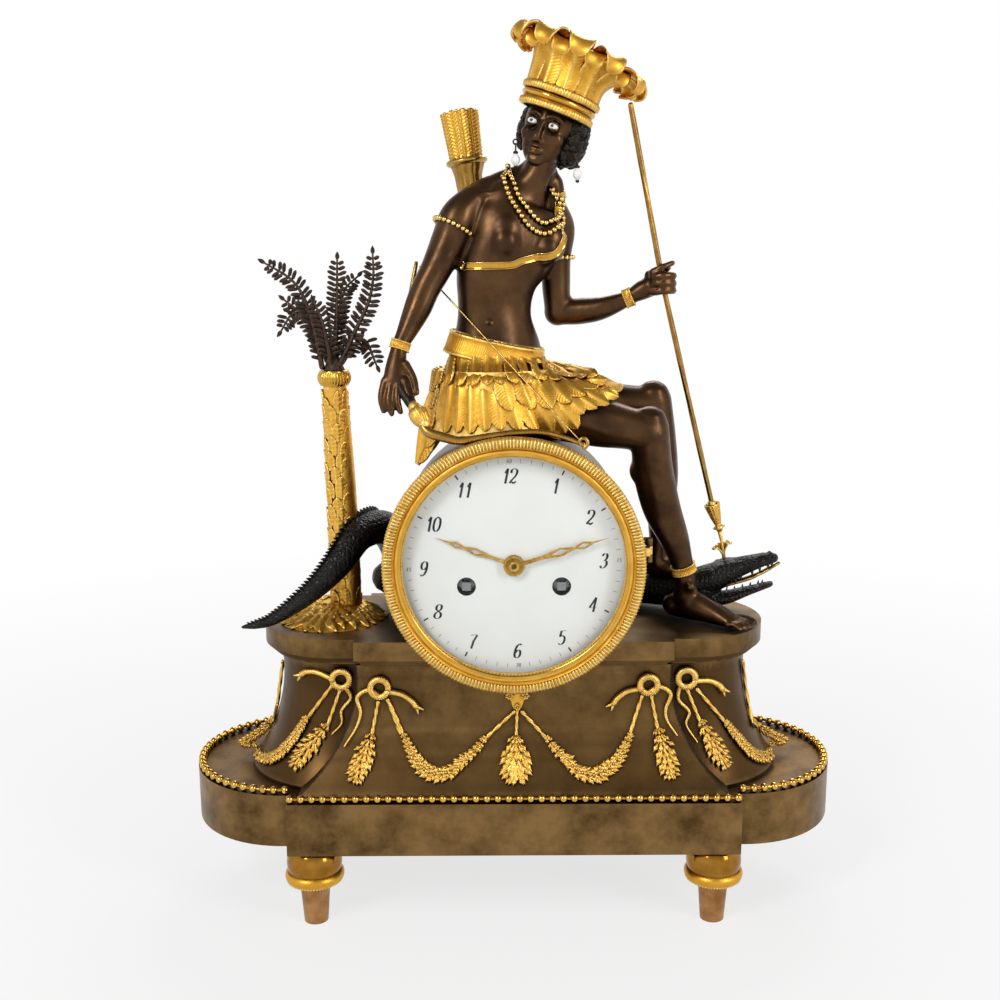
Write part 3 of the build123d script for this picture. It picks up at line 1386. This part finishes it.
with BuildPart() as left_arm:
    swell(limb_rows(left_upper_rows), side=(1, 0, 0))
    swell(limb_rows(left_lower_rows), side=(0, 1, 0))
    ball(at(0.58, 0.20, 1.49), 0.195 * head_height)
    ball(at(1.90, -0.02, 1.90), 0.16 * head_height)
    rod(at(1.94, -0.06, 1.98), at(2.03, -0.05, 2.08), 0.05 * head_height)
    ball(at(2.03, -0.05, 2.08), 0.06 * head_height)
    add(torso.part, mode=Mode.SUBTRACT)
    add(spear.part, mode=Mode.SUBTRACT)
keep(left_arm, "left_arm")

right_thigh_rows = (
    ((0.10, -0.48, 0.32), 0.34), ((0.65, -0.50, 0.24), 0.345), ((1.10, -0.52, 0.14), 0.32),
    ((1.45, -0.54, 0.07), 0.28), ((1.74, -0.55, 0.01), 0.26),
)
right_shin_rows = (
    ((1.74, -0.54, 0.12), 0.24), ((1.79, -0.50, -0.45), 0.26), ((1.92, -0.45, -0.98), 0.26),
    ((2.10, -0.38, -1.40), 0.21), ((2.21, -0.32, -1.70), 0.17), ((2.28, -0.29, -2.00), 0.17),
    ((2.30, -0.24, -2.24), 0.18),
)
right_foot_rows = (
    ((2.14, -0.12, -2.40), 0.12, 0.16), ((2.34, -0.24, -2.36), 0.17, 0.22),
    ((2.65, -0.41, -2.43), 0.17, 0.16), ((2.88, -0.54, -2.50), 0.19, 0.10),
    ((3.10, -0.66, -2.53), 0.16, 0.06),
)
left_thigh_rows = (
    ((0.0, 0.12, 0.36), 0.34), ((0.60, 0.15, 0.33), 0.335), ((1.00, 0.17, 0.30), 0.32),
    ((1.40, 0.19, 0.27), 0.28), ((1.84, 0.20, 0.25), 0.26),
)
left_shin_rows = (
    ((1.86, 0.20, 0.36), 0.24), ((1.92, 0.22, -0.20), 0.26), ((1.99, 0.25, -0.75), 0.24),
    ((2.00, 0.31, -1.30), 0.18), ((2.00, 0.35, -1.70), 0.15), ((1.99, 0.38, -1.92), 0.16),
)
left_foot_rows = (
    ((1.90, 0.40, -2.00), 0.12, 0.14), ((2.10, 0.36, -1.98), 0.16, 0.16),
    ((2.40, 0.30, -2.10), 0.17, 0.12), ((2.64, 0.26, -2.18), 0.14, 0.06),
)

with BuildPart() as right_leg:
    swell(limb_rows(right_thigh_rows), side=(0, 1, 0))
    ball(at(1.74, -0.55, 0.02), 0.26 * head_height)
    swell(limb_rows(right_shin_rows), side=(1, 0, 0))
    swell(limb_rows(right_foot_rows), side=(0.5, 0.85, 0))
    add(torso.part, mode=Mode.SUBTRACT)
    add(drum_solid.part, mode=Mode.SUBTRACT)
    extrude(ground.sketch, amount=-mound_radius, mode=Mode.SUBTRACT)
keep(right_leg, "right_leg")

with BuildPart() as left_leg:
    swell(limb_rows(left_thigh_rows), side=(0, 1, 0))
    ball(at(1.86, 0.20, 0.25), 0.28 * head_height)
    swell(limb_rows(left_shin_rows), side=(1, 0, 0))
    swell(limb_rows(left_foot_rows), side=(0, 1, 0))
    add(torso.part, mode=Mode.SUBTRACT)
    add(right_leg.part, mode=Mode.SUBTRACT)
    add(drum_solid.part, mode=Mode.SUBTRACT)
    add(crocodile.part, mode=Mode.SUBTRACT)
keep(left_leg, "left_leg")

with BuildPart() as belt:
    swell(limb_rows((((-0.19, -0.20, 1.16), 0.63, 0.47), ((-0.25, -0.20, 0.89), 0.67, 0.50))), side=torso_side)
    add(torso.part, mode=Mode.SUBTRACT)
keep(belt, "belt")

skirt_tip_rows = (
    (((-0.85, 0.05, 0.60), 0.16, 0.05), ((-1.00, 0.10, 0.20), 0.20, 0.05), ((-1.18, 0.12, -0.30), 0.12, 0.04),
     ((-1.28, 0.12, -0.52), 0.04, 0.02)),
    (((0.85, -0.60, 0.66), 0.14, 0.05), ((1.15, -0.66, 0.60), 0.14, 0.05), ((1.38, -0.66, 0.46), 0.05, 0.02)),
    (((0.70, -0.76, 0.52), 0.14, 0.05), ((0.98, -0.84, 0.44), 0.13, 0.05), ((1.20, -0.84, 0.30), 0.05, 0.02)),
)


def sleeve(rows, girth, overhang, mode=Mode.ADD):
    """A straight tapered sleeve round a limb, or its hollow."""
    first, last = at(*rows[0][0]), at(*rows[-1][0])
    along = (last - first).normalized() * overhang
    rod(first - along, last + along, girth, girth * sleeve_taper, mode=mode)


skirt_ease = 0.05 * head_height
skirt_wall = 0.09 * head_height
sleeve_taper = 0.9
skirt_low, skirt_high = at(-0.20, -0.25, 0.02), at(-0.21, -0.22, 0.80)
skirt_low_radius, skirt_high_radius = 0.88 * head_height, 0.77 * head_height
skirt_over_right = ((0.10, -0.48, 0.32), (1.24, -0.52, 0.13))
skirt_over_left = ((0.0, 0.12, 0.36), (1.16, 0.17, 0.30))
thigh_girth = 0.345 * head_height

with BuildPart() as feather_skirt:
    rod(skirt_low, skirt_high, skirt_low_radius, skirt_high_radius)
    rod(at(*skirt_over_right[0]), at(*skirt_over_right[1]), thigh_girth + skirt_ease + skirt_wall)
    rod(at(*skirt_over_left[0]), at(*skirt_over_left[1]), thigh_girth + skirt_ease + skirt_wall)
    for row in skirt_tip_rows:
        swell(limb_rows(row), side=(0, 0.3, 1) if row[0][0][0] > 0 else (1, 0, 0))
    fall = (skirt_high - skirt_low) * 0.2
    rod(
        skirt_low - fall, skirt_high + fall, skirt_low_radius - skirt_wall, skirt_high_radius - skirt_wall,
        mode=Mode.SUBTRACT,
    )
    sleeve(right_thigh_rows, thigh_girth + skirt_ease, skirt_ease, mode=Mode.SUBTRACT)
    sleeve(left_thigh_rows, thigh_girth + skirt_ease, skirt_ease, mode=Mode.SUBTRACT)
    disc(drum_back + overrun, flange_front - overrun, flange_radius + body_gap, mode=Mode.SUBTRACT)
keep(feather_skirt, "feather_skirt")

ring_rows = (
    ((-0.72, -0.30, 2.60), (-0.76, -0.32, 2.52), 0.27),
    ((-1.385, -0.72, 1.18), (-1.415, -0.74, 1.09), 0.145),
    ((0.56, 0.19, 2.24), (0.56, 0.19, 2.16), 0.225),
    ((1.46, 0.03, 1.675), (1.52, 0.02, 1.70), 0.135),
    ((2.23, -0.31, -1.80), (2.26, -0.30, -1.90), 0.20),
)

with BuildPart() as limb_rings:
    for low, high, girth in ring_rows:
        rod(at(*low), at(*high), girth * head_height)
    add(right_arm.part, mode=Mode.SUBTRACT)
    add(left_arm.part, mode=Mode.SUBTRACT)
    add(right_leg.part, mode=Mode.SUBTRACT)
    add(torso.part, mode=Mode.SUBTRACT)
    add(bow.part, mode=Mode.SUBTRACT)
keep(limb_rings, "limb_rings")

with BuildPart() as chest_strap:
    swell(limb_rows((((0.02, -0.13, 2.28), 0.62, 0.45), ((0.0, -0.13, 2.16), 0.62, 0.45))), side=torso_side)
    add(torso.part, mode=Mode.SUBTRACT)
    add(right_arm.part, mode=Mode.SUBTRACT)
    add(left_arm.part, mode=Mode.SUBTRACT)
    add(limb_rings.part, mode=Mode.SUBTRACT)
keep(chest_strap, "chest_strap")

# Necklaces: two strings laid round the neck and over the chest
strand_radius = 0.035 * head_height
strand_rows = (
    ((-0.02, 0.10, 3.20), (-0.02, -0.18, 3.10), (-0.02, -0.38, 2.90), (0.14, -0.52, 2.66), (0.34, -0.56, 2.52),
     (0.52, -0.48, 2.52), (0.62, -0.36, 2.68), (0.60, -0.22, 2.90), (0.50, -0.02, 3.10), (0.30, 0.14, 3.22)),
    ((0.02, 0.06, 3.26), (0.04, -0.22, 3.14), (0.06, -0.38, 2.95), (0.20, -0.48, 2.76), (0.36, -0.50, 2.66),
     (0.48, -0.44, 2.66), (0.54, -0.34, 2.78), (0.52, -0.24, 2.94), (0.46, -0.04, 3.12), (0.30, 0.10, 3.26)),
)

with BuildPart() as necklaces:
    for row in strand_rows:
        chain([at(*place) for place in row + (row[0],)], strand_radius)
    add(torso.part, mode=Mode.SUBTRACT)
    add(head.part, mode=Mode.SUBTRACT)
    add(right_arm.part, mode=Mode.SUBTRACT)
    add(left_arm.part, mode=Mode.SUBTRACT)
keep(necklaces, "necklaces")

with BuildPart() as quiver:
    rod(at(-0.70, 0.56, 4.02), at(-0.60, 0.52, 3.42), 0.24 * head_height)
    rod(at(-0.61, 0.52, 3.46), at(-0.59, 0.52, 3.36), 0.27 * head_height)
    swell(limb_rows((
        ((-0.60, 0.52, 3.40), 0.22), ((-0.56, 0.48, 3.10), 0.17), ((-0.48, 0.42, 2.60), 0.15),
        ((-0.36, 0.32, 1.90), 0.12),
    )), side=(1, 0, 0))
    add(torso.part, mode=Mode.SUBTRACT)
    add(right_arm.part, mode=Mode.SUBTRACT)
    add(necklaces.part, mode=Mode.SUBTRACT)
    add(chest_strap.part, mode=Mode.SUBTRACT)
keep(quiver, "quiver")

string_radius = 0.4
with BuildPart() as bow_string:
    rod(at(*bow_rows[0][0]), at(*bow_rows[-1][0]), string_radius)
    add(bow.part, mode=Mode.SUBTRACT)
keep(bow_string, "bow_string")
